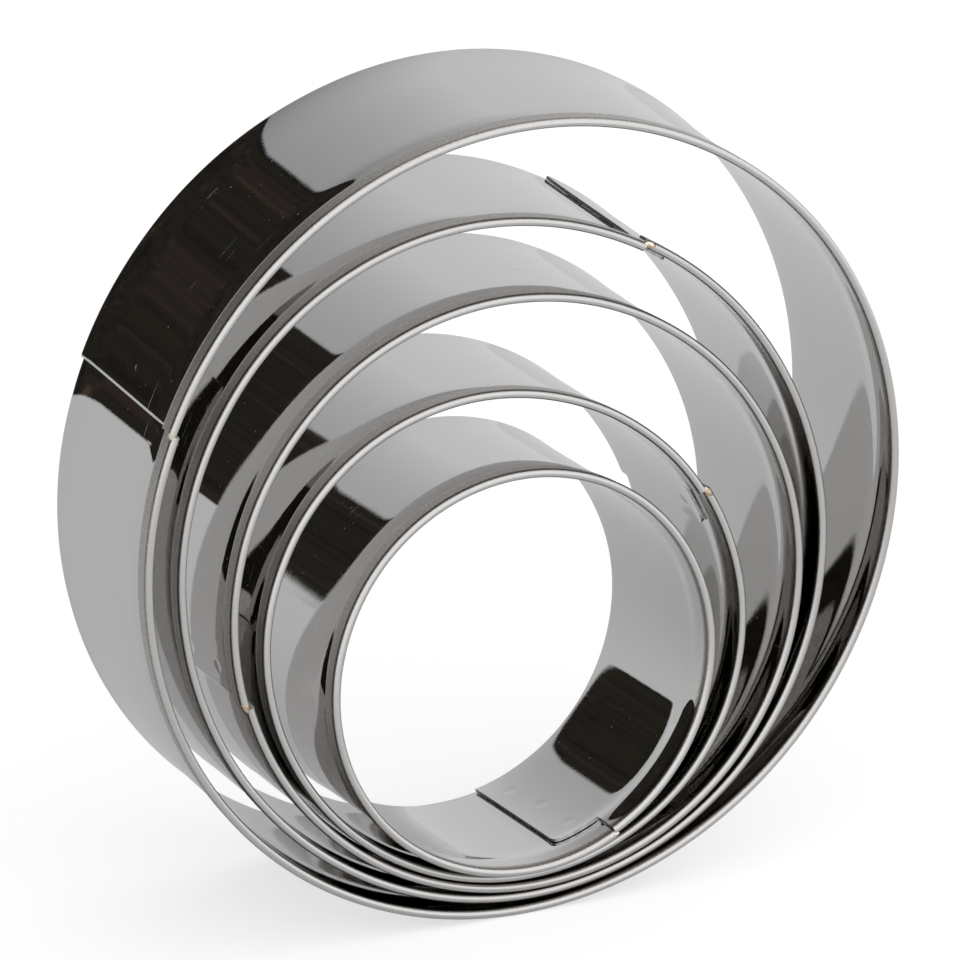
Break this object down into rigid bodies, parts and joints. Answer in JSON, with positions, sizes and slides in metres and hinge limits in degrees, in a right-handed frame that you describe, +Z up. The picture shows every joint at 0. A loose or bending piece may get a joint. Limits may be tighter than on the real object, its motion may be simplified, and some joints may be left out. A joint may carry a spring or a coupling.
{
  "type": "biscuit cutter set",
  "caption": "Nest of plain round steel biscuit cutters standing on edge, each a lapped, spot-welded band with a rolled hem, sliding one out of another.",
  "frame": {"origin": "on the surface that the set stands on, at the middle of its width and depth", "axes": "+Z up, -Y towards the hems, which face the front, +X to the right seen from the front"},
  "size_m": [0.1028, 0.0358, 0.1031],
  "materials": {
    "band_steel": "bright mirror-polished strip, finely brushed along the hem, with light use scratches",
    "spot_weld": "fused steel of a spot weld, its mark dished and slightly dull",
    "weld_bead": "small bead of weld with a straw heat tint"
  },
  "bodies": {
    "cutter_1": {"cutter_1_band": "band_steel", "cutter_1_spot_1": "spot_weld", "cutter_1_spot_2": "spot_weld", "cutter_1_spot_3": "spot_weld", "cutter_1_bead": "weld_bead"},
    "cutter_2": {"cutter_2_band": "band_steel", "cutter_2_spot_1": "spot_weld", "cutter_2_spot_2": "spot_weld", "cutter_2_spot_3": "spot_weld", "cutter_2_bead": "weld_bead"},
    "cutter_3": {"cutter_3_band": "band_steel", "cutter_3_spot_1": "spot_weld", "cutter_3_spot_2": "spot_weld", "cutter_3_spot_3": "spot_weld", "cutter_3_bead": "weld_bead"},
    "cutter_4": {"cutter_4_band": "band_steel", "cutter_4_spot_1": "spot_weld", "cutter_4_spot_2": "spot_weld", "cutter_4_spot_3": "spot_weld", "cutter_4_bead": "weld_bead"},
    "cutter_5": {"cutter_5_band": "band_steel", "cutter_5_spot_1": "spot_weld", "cutter_5_spot_2": "spot_weld", "cutter_5_spot_3": "spot_weld", "cutter_5_bead": "weld_bead"}
  },
  "joints": [
    {"name": "cutter_2_slide", "type": "slide", "parent": "cutter_1", "child": "cutter_2", "axis": [0, -0.9997, 0.0255], "range_m": [-0.029, 0.032]},
    {"name": "cutter_3_slide", "type": "slide", "parent": "cutter_2", "child": "cutter_3", "axis": [0.0064, -0.9986, 0.0532], "range_m": [-0.029, 0.032]},
    {"name": "cutter_4_slide", "type": "slide", "parent": "cutter_3", "child": "cutter_4", "axis": [-0.0048, -0.997, 0.0773], "range_m": [-0.029, 0.032]},
    {"name": "cutter_5_slide", "type": "slide", "parent": "cutter_4", "child": "cutter_5", "axis": [0.0056, -0.9949, 0.1005], "range_m": [-0.029, 0.032]}
  ]
}
